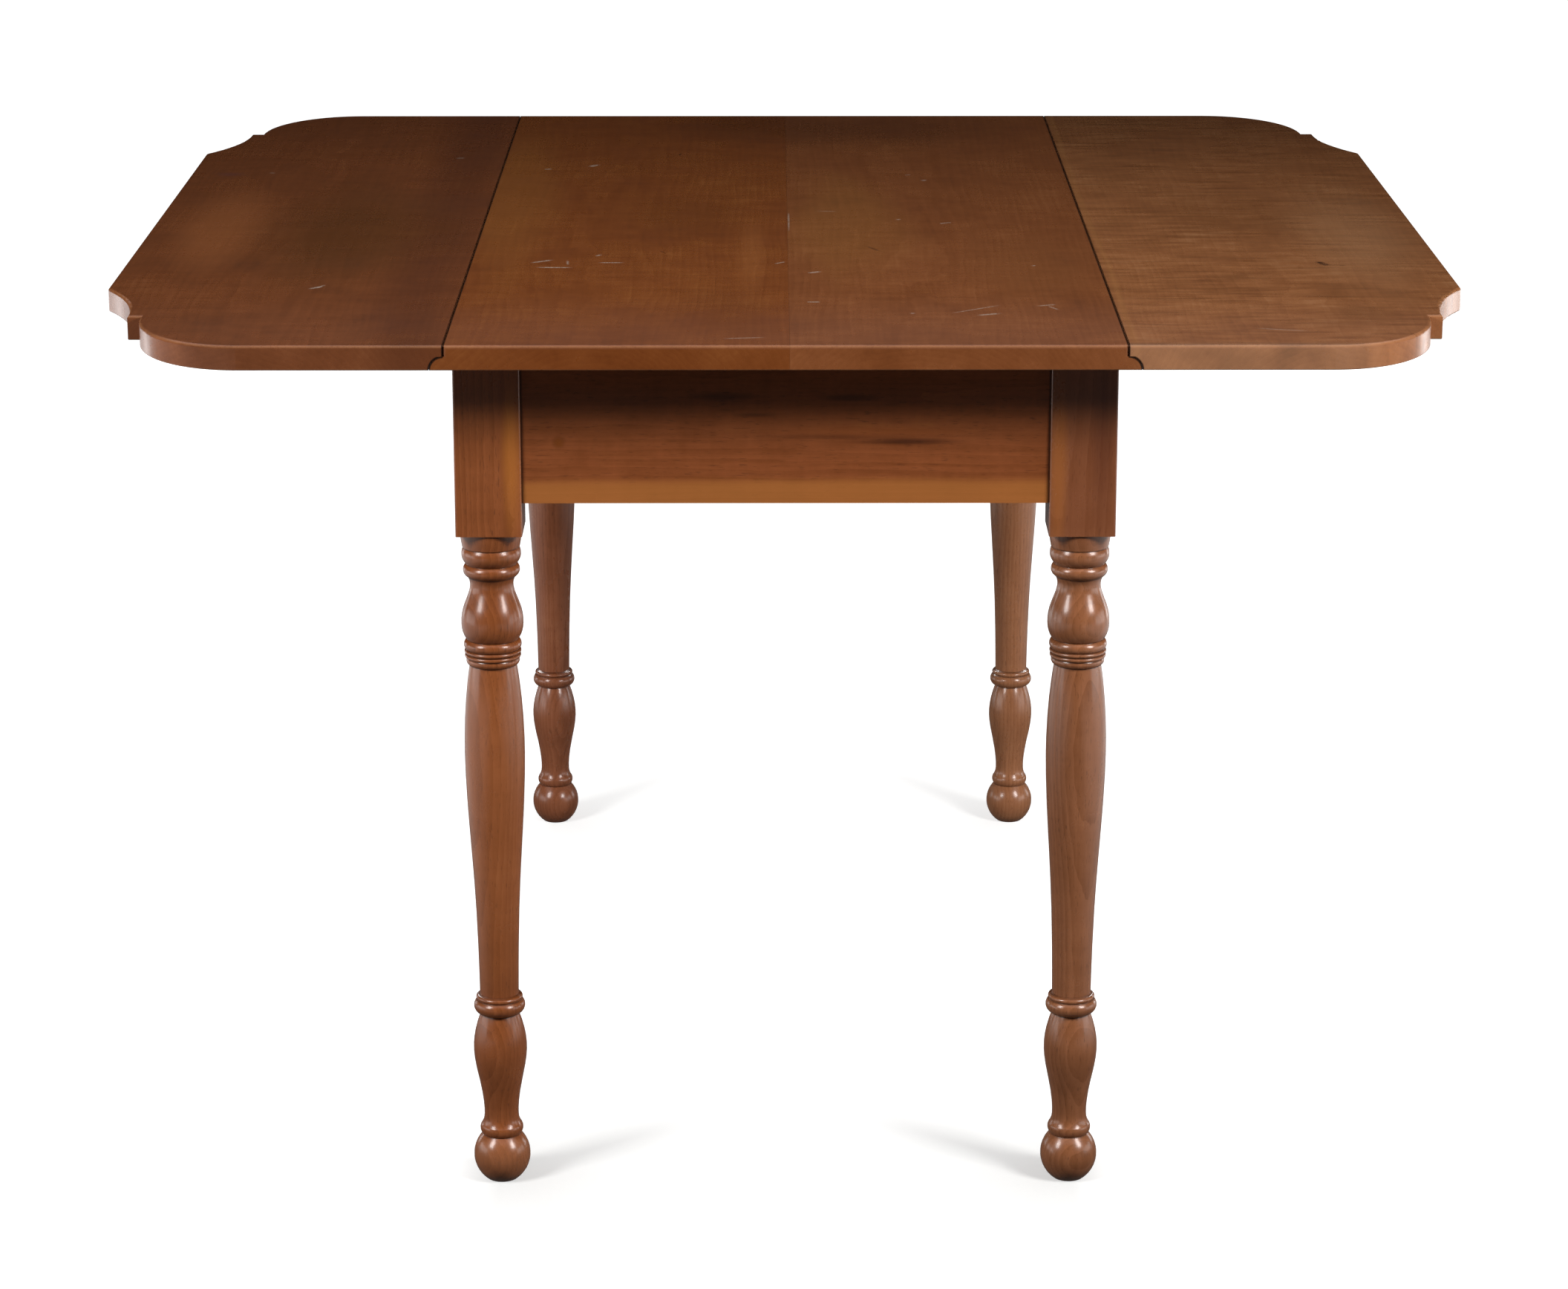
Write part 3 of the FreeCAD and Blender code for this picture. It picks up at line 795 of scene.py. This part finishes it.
for index, (legName, own) in enumerate(legs.items()):
    low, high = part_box(legName)
    centre = (low + high) / 2 / mm
    pith = (centre.x + own["pith"][0], centre.y + own["pith"][1], 0)
    # stain gathers in the grooves of the turning
    reach = legLook["grooveHalf"]
    grooves = [dict(legLook["groove"], start=z - reach, end=z + reach) for z in legLook["grooves"]]
    look = dict(legLook, seed=legLook["firstSeed"] + legLook["seedStep"] * index, **own)
    look["bands"] = own.get("bands", []) + grooves
    look["pith"] = pith
    dress(finishedWood("cherryTurnedLacquered_" + legName, look), legName)
print("legs finished")

# end aprons: sapwood along the lower edge
apronLook = {
    "grain": "X",
    "waver": 20,
    "ring": 5.5,
    "rings": 0.1,
    "streaks": 0.32,
    "clouds": 0.9,
    "figure": 0.14,
    "dashes": 0.05,
    "endGrain": 0.3,
    "wear": 0.3,
    "colours": ("#522608", "#a5652f", "#743d1c", "#8b4d2a"),
    "rough": 0.36,
    "gloss": 0.3,
    "coat": 0.0,
    "bands": [
        {"axis": "Z", "start": 580, "end": 614, "soft": 5, "wobble": 16,
         "colour": "#ad6c34", "amount": 0.58},
        # dark gaps to the leg blocks
        {"axis": "X", "start": -215, "end": -211.6, "soft": 1.0, "colour": darkMark, "amount": 0.8},
        {"axis": "X", "start": 211.6, "end": 215, "soft": 1.0, "colour": darkMark, "amount": 0.8},
    ],
}
frontApron = dict(
    apronLook,
    seed=41.0,
    pith=(0, -455, 690),
    patches=[
        {"centre": (98, -508, 646), "size": (62, 20, 4.2),
         "colour": "#2a1208", "amount": 0.7, "ragged": 0.5},
        {"centre": (40, -508, 650), "size": (80, 20, 4),
         "colour": "#4a2410", "amount": 0.4, "ragged": 0.6},
        {"centre": (70, -508, 655), "size": (110, 20, 7),
         "colour": "#9a5428", "amount": 0.35, "ragged": 0.6},
        {"centre": (-50, -508, 683), "size": (34, 20, 5),
         "colour": "#1c0d06", "amount": 0.5, "ragged": 0.6},
        {"centre": (52, -508, 682), "size": (30, 20, 4),
         "colour": "#1c0d06", "amount": 0.5, "ragged": 0.6},
        {"centre": (-25, -508, 668), "size": (22, 20, 3),
         "colour": "#3a1a0c", "amount": 0.45, "ragged": 0.6},
        {"centre": (-182.7, -508, 645.4), "size": (7.5, 20, 7.5),
         "colour": "#5a2c10", "amount": 0.6, "ragged": 0.1},
        {"centre": (-182.7, -508, 645.4), "size": (6, 20, 6),
         "colour": "#7c4216", "amount": 0.7, "ragged": 0.1},
    ],
)
rearApron = dict(apronLook, seed=46.0, pith=(0, 455, 700))
dress(finishedWood("cherryPlanedLacquered_frontApron", frontApron), "front_apron")
dress(finishedWood("cherryPlanedLacquered_rearApron", rearApron), "rear_apron")

# fly rails and brackets, one length of board on each side
flyLook = dict(apronLook, grain="Y", bands=[])
flySides = {
    "left": {"seed": 52.0, "pith": (-200, 0, 640)},
    "right": {"seed": 57.0, "pith": (200, 0, 640)},
}
for side, own in flySides.items():
    look = dict(flyLook, **own)
    pieces = [side + "_fly_middle"]
    for end in ("front", "rear"):
        pieces += [side + "_" + end + "_fly_end", side + "_" + end + "_bracket"]
    dress(finishedWood("cherrySawnStained_flyRail_" + side, look), *pieces)

# side rails and screw blocks: planed, thin stain, no lacquer
innerLook = dict(
    flyLook,
    colours=("#6a4028", "#b5825a", "#8a5a3a", "#9f6c47"),
    rough=0.6,
    gloss=0.25,
    coat=0.0,
    seed=63.0,
    pith=(0, 0, 560),
)
innerPieces = ("left_side_rail", "right_side_rail", "screw_blocks")
dress(finishedWood("poplarPlanedStained", innerLook), *innerPieces)
print("aprons and rails finished")


# Iron, stamped and blackened, or steel, turned and dulled. Age has left it in blotches, brown-grey
# where it is worn and rougher where it is dark.
def agedMetal(name, look):
    material, tree = newMaterial(name)
    place = addNode(tree, "TexCoord").outputs["Object"]
    blotch = addNode(
        tree,
        "TexNoise",
        {"Vector": place, "Scale": 1 / (look["blotch"] * mm), "Detail": 5.0, "Roughness": 0.65},
    )
    ramp = addNode(
        tree, "ValToRGB", {"Fac": blotch.outputs[0]}, ramp=list(zip(look["stops"], look["colours"]))
    )
    rough = addNode(
        tree,
        "MapRange",
        {"Value": blotch.outputs[0], "To Min": look["rough"][0], "To Max": look["rough"][1]},
    )
    relief = addNode(
        tree,
        "Bump",
        {"Height": blotch.outputs[0], "Strength": look["relief"], "Distance": look["depth"] * mm},
    )
    surface = addNode(
        tree,
        "BsdfPrincipled",
        {
            "Base Color": ramp.outputs[0],
            "Roughness": rough.outputs[0],
            "Normal": relief.outputs[0],
            "Metallic": look["metallic"],
        },
    )
    addNode(tree, "OutputMaterial", {"Surface": surface.outputs[0]})
    return material


hingeLook = {
    "blotch": 6,
    "stops": (0.3, 0.72, 0.55),
    "colours": ("#2b2622", "#6d6259", "#453d36"),
    "rough": (0.65, 0.4),
    "relief": 0.2,
    "depth": 0.2,
    "metallic": 0.85,
}
# screws: the same blotches, finer and brighter
screwLook = dict(
    hingeLook,
    blotch=2,
    colours=("#57524b", "#a39c92", "#7d766d"),
    rough=(0.55, 0.35),
    metallic=1.0,
)
ironPieces = ["bracket_pins"]
screwPieces = ["hinge_plate_screws", "top_screws", "fly_rail_screws"]
for side in ("left", "right"):
    ironPieces += [side + "_hinge_plates", side + "_hinge_straps", side + "_hinge_pins"]
    screwPieces.append(side + "_strap_screws")
dress(agedMetal("ironStampedBlackened", hingeLook), *ironPieces)
dress(agedMetal("steelTurnedDulled", screwLook), *screwPieces)
print("ironwork finished")

# studio: white floor that keeps the shadows, white background, soft boxes at both sides, and a
# ring of dark felt far out that keeps the lacquer from mirroring the white all round
studio = {
    "floorSize": 60,
    "floorColours": ("#c6c6c4", "#d2d2d0"),
    "floorBounce": "#4c4c4b",
    "floorGrit": 4,
    "glowDepth": (-0.35, 0.4),
    "glowFront": 0.38,
    "glowRear": 0.65,
    "glowClear": 1.05,
    "shadowReach": 0.45,
    "outerStretch": 5.0,
    "mirrorGlow": (0.05, 1.0),
    "mirrorSides": (0.45, 1.3),
    "worldFill": 0.044,
    "aim": (0, -0.2, 0.6),
    "boardAim": (0, -0.3, 0.73),
    "boardSpread": 44,
    # pairs of soft boxes: place is the angle from the front, the rise and the distance; power is
    # that of the left and of the right box
    "boxes": [
        {"place": (50, 25, 3.0), "size": (0.78, 1.3), "power": (61, 74),
         "only": "diffuse", "on": "behind"},
        {"place": (50, 25, 3.0), "size": (0.4, 0.4), "power": (3.85, 4.65),
         "only": "diffuse", "on": "boards"},
        {"place": (50, 32, 3.0), "size": (0.78, 0.85), "power": (68, 83),
         "only": "diffuse", "on": "front"},
        {"place": (50, 25, 2.95), "size": (0.78, 1.3), "power": (75, 90),
         "only": "glossy", "on": "turnings"},
        {"place": (126, -4.8, 2.7), "size": (0.5, 0.65), "power": (3.2, 4.6)},
        {"place": (152, -4, 3.2), "size": (1.2, 0.6), "power": (13, 13), "only": "diffuse"},
        {"place": (152, 25, 3.2), "size": (0.6, 1.0), "power": (34, 34),
         "only": "glossy", "on": "turnings"},
        {"place": (82, -4.4, 2.6), "size": (2.0, 0.6), "power": (8, 8), "only": "diffuse"},
        {"place": (82, -4.4, 2.55), "size": (2.0, 0.6), "power": (12, 12),
         "only": "glossy", "on": "legs"},
    ],
}


# 1 for rays that see the background straight, mirrored or through glass
def seesBackground(tree):
    path = addNode(tree, "LightPath")
    seen = path.outputs["Is Camera Ray"]
    for name in ("Is Glossy Ray", "Is Transmission Ray"):
        seen = addNode(tree, "Math", {0: seen, 1: path.outputs[name]}, operation="MAXIMUM").outputs[0]
    return seen


# Paper sweep, matt white: bright all over, with only the soft shadow of the object on it.
# It throws back less light than it shows, so the shade under the top stays deep.
floorMaterial, tree = newMaterial("paperSweepMatt")
seen = seesBackground(tree)
straight = addNode(tree, "LightPath").outputs["Is Camera Ray"]
place = addNode(tree, "TexCoord").outputs["Object"]
gritScale = 1 / (studio["floorGrit"] * mm)
grit = addNode(tree, "TexNoise", {"Vector": place, "Scale": gritScale, "Detail": 2.0})
paperRamp = list(zip((0.0, 1.0), studio["floorColours"]))
paper = addNode(tree, "ValToRGB", {"Fac": grit.outputs[0]}, ramp=paperRamp)
thrown = addNode(
    tree,
    "Mix",
    {"Factor": straight, "A": toLinear(studio["floorBounce"]), "B": paper.outputs[0]},
    data_type="RGBA",
)
matt = addNode(tree, "BsdfDiffuse", {"Color": thrown.outputs["Result"]})
axes = addNode(tree, "SeparateXYZ", {0: place})
glowAtFoot = addNode(
    tree,
    "MapRange",
    {
        "Value": axes.outputs["Y"],
        "From Min": studio["glowDepth"][0],
        "From Max": studio["glowDepth"][1],
        "To Min": studio["glowFront"],
        "To Max": studio["glowRear"],
    },
)
# shadows show beside and behind the feet only: the distance to the nearest foot, counted longer
# on its outer side, clears the rest
footLow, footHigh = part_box("rear_right_leg")
footCentre = (footLow + footHigh) / 2
folded = addNode(tree, "VectorMath", {0: place}, operation="ABSOLUTE")
footPlace = (footCentre.x, footCentre.y, 0)
toFoot = addNode(tree, "VectorMath", {0: folded.outputs[0], 1: footPlace}, operation="SUBTRACT")
outside = addNode(tree, "VectorMath", {0: toFoot.outputs[0], 1: (0, 0, 0)}, operation="MAXIMUM")
stretched = addNode(
    tree,
    "VectorMath",
    {0: outside.outputs[0], 1: (studio["outerStretch"], 0, 0), 2: toFoot.outputs[0]},
    operation="MULTIPLY_ADD",
)
fromFoot = addNode(tree, "VectorMath", {0: stretched.outputs[0]}, operation="LENGTH")
straightGlow = addNode(
    tree,
    "MapRange",
    {
        "Value": fromFoot.outputs["Value"],
        "From Max": studio["shadowReach"],
        "To Min": glowAtFoot.outputs[0],
        "To Max": studio["glowClear"],
    },
)
# what the lacquer mirrors: white at both sides, dim in front
sideways = addNode(tree, "Math", {0: axes.outputs["X"]}, operation="ABSOLUTE")
mirrored = addNode(
    tree,
    "MapRange",
    {
        "Value": sideways.outputs[0],
        "From Min": studio["mirrorSides"][0],
        "From Max": studio["mirrorSides"][1],
        "To Min": studio["mirrorGlow"][0],
        "To Max": studio["mirrorGlow"][1],
    },
    interpolation_type="SMOOTHSTEP",
)
chosen = addNode(
    tree,
    "Mix",
    {"Factor": straight, "A": mirrored.outputs[0], "B": straightGlow.outputs[0]},
    data_type="FLOAT",
)
glowLevel = addNode(tree, "Math", {0: seen, 1: chosen.outputs["Result"]}, operation="MULTIPLY")
glow = addNode(tree, "Emission", {"Strength": glowLevel.outputs[0]})
both = addNode(tree, "AddShader", {0: matt.outputs[0], 1: glow.outputs[0]})
addNode(tree, "OutputMaterial", {"Surface": both.outputs[0]})
half = studio["floorSize"] / 2
floorMesh = bpy.data.meshes.new("floor")
floorCorners = [(-half, -half, 0), (half, -half, 0), (half, half, 0), (-half, half, 0)]
floorMesh.from_pydata(floorCorners, [], [(0, 1, 2, 3)])
floor = bpy.data.objects.new("floor", floorMesh)
bpy.context.scene.collection.objects.link(floor)
floorMesh.materials.append(floorMaterial)

world = bpy.data.worlds.new("studio")
bpy.context.scene.world = world
world.use_nodes = True
tree = world.node_tree
tree.nodes.clear()
level = addNode(
    tree,
    "MapRange",
    {"Value": seesBackground(tree), "To Min": studio["worldFill"], "To Max": 1.0},
)
sky = addNode(tree, "Background", {"Color": (1, 1, 1, 1), "Strength": level.outputs[0]})
addNode(tree, "OutputWorld", {"Surface": sky.outputs[0]})

# Felt, pressed and dyed black: matt and near black, seen only in reflections
feltLook = {
    "radius": 4.8,
    "height": 4.2,
    "segments": 96,
    "pile": 3,
    "colours": ("#141414", "#242424"),
}
feltMaterial, tree = newMaterial("feltDyedBlack")
fuzz = addNode(
    tree,
    "TexNoise",
    {
        "Vector": addNode(tree, "TexCoord").outputs["Object"],
        "Scale": 1 / (feltLook["pile"] * mm),
        "Detail": 2.0,
    },
)
pileRamp = list(zip((0.0, 1.0), feltLook["colours"]))
pile = addNode(tree, "ValToRGB", {"Fac": fuzz.outputs[0]}, ramp=pileRamp)
felt = addNode(tree, "BsdfDiffuse", {"Color": pile.outputs[0]})
addNode(tree, "OutputMaterial", {"Surface": felt.outputs[0]})
ringMesh = bpy.data.meshes.new("feltRing")
ringShape = bmesh.new()
bmesh.ops.create_cone(
    ringShape,
    segments=feltLook["segments"],
    radius1=feltLook["radius"],
    radius2=feltLook["radius"],
    depth=feltLook["height"],
)
bmesh.ops.translate(ringShape, verts=ringShape.verts, vec=(0, 0, feltLook["height"] / 2))
ringShape.to_mesh(ringMesh)
ringShape.free()
ringMesh.materials.append(feltMaterial)
feltRing = bpy.data.objects.new("feltRing", ringMesh)
bpy.context.scene.collection.objects.link(feltRing)
for ray in ("camera", "diffuse", "transmission", "volume_scatter", "shadow"):
    setattr(feltRing, "visible_" + ray, False)

# which pieces a box lights: the front end has boxes set higher, for the shade under the overhang,
# and the boards have narrow ones aimed at the front; the high shine boxes leave out the flat boards,
# and the low ones at the sides shine on the legs alone
boards = ("top_board_left", "top_board_right", "left_leaf", "right_leaf")
frontEnd = ("front_apron", "front_left_leg", "front_right_leg")
lit = {
    "front": [nodes[name] for name in frontEnd],
    "legs": [nodes[name] for name in legs],
    "boards": [nodes[name] for name in boards],
    "behind": [floor] + [piece for name, piece in nodes.items() if name not in frontEnd + boards],
    "turnings": [piece for name, piece in nodes.items() if name not in boards],
}
receivers = {}
for group, pieces in lit.items():
    receivers[group] = bpy.data.collections.new(group)
    for piece in pieces:
        receivers[group].objects.link(piece)
aim = Vector(studio["aim"])
boxes = [(box, side) for box in studio["boxes"] for side in (0, 1)]
for index, (box, side) in enumerate(boxes):
    lamp = bpy.data.lights.new("softBox%d" % index, "AREA")
    lamp.shape = "RECTANGLE"
    lamp.size, lamp.size_y = box["size"]
    lamp.energy = box["power"][side]
    sideAngle, riseAngle, distance = box["place"]
    angle = math.radians(sideAngle if side else -sideAngle)
    rise = math.radians(riseAngle)
    flatShare = math.cos(rise)
    toward = Vector((math.sin(angle) * flatShare, -math.cos(angle) * flatShare, math.sin(rise)))
    holder = bpy.data.objects.new(lamp.name, lamp)
    holder.location = aim + toward * distance
    target = aim
    if box.get("on") == "boards":
        target = Vector(studio["boardAim"])
        lamp.spread = math.radians(studio["boardSpread"])
    holder.rotation_euler = (target - holder.location).to_track_quat("-Z", "Y").to_euler()
    bpy.context.scene.collection.objects.link(holder)
    if box.get("only") == "diffuse":
        holder.visible_glossy = False
    if box.get("only") == "glossy":
        holder.visible_diffuse = False
    if "on" in box:
        holder.light_linking.receiver_collection = receivers[box["on"]]
print("studio lit")

# camera of the photograph: in front, 0.7 m above the top, looking down 16 degrees
view = {
    "place": (-0.0116, -3.961, 1.4655),
    "down": 0.279,
    "right": 0.003,
    "lens": 101.2,
    "sensor": 36,
}
cameraData = bpy.data.cameras.new("camera")
cameraData.lens = view["lens"]
cameraData.sensor_width = view["sensor"]
cameraData.sensor_fit = "HORIZONTAL"
camera = bpy.data.objects.new("camera", cameraData)
camera.location = view["place"]
camera.rotation_euler = (math.pi / 2 - view["down"], 0, -view["right"])
bpy.context.scene.collection.objects.link(camera)
bpy.context.scene.camera = camera
bpy.context.scene.view_settings.view_transform = "Standard"
print("camera set")
